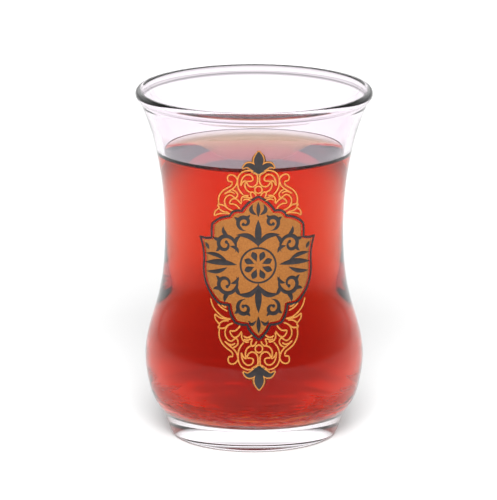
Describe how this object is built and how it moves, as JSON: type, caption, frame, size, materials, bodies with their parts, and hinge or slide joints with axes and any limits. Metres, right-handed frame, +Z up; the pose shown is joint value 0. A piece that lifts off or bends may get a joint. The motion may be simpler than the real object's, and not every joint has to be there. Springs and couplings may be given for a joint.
{
  "type": "tea glass",
  "caption": "Waisted clear tea glass with a flared lip and a thick foot, filled with dark red tea, with an ornamental medallion printed in gold and dark ink on its front.",
  "frame": {"origin": "on the glass's axis, on the surface that its foot stands on", "axes": "+Z up along the glass's axis, -Y towards the printed front, +X to the right as seen from the front"},
  "size_m": [0.0562, 0.0562, 0.084],
  "materials": {
    "glass": "clear, fire-polished",
    "tea": "clear dark red liquid",
    "gold_print": "satin lustre print",
    "dark_print": "fired enamel print"
  },
  "bodies": {
    "root": {"glass": "glass", "tea": "tea", "medallion_field": "gold_print", "medallion_border": "dark_print", "finial_top": "dark_print", "finial_bottom": "dark_print"}
  },
  "joints": []
}
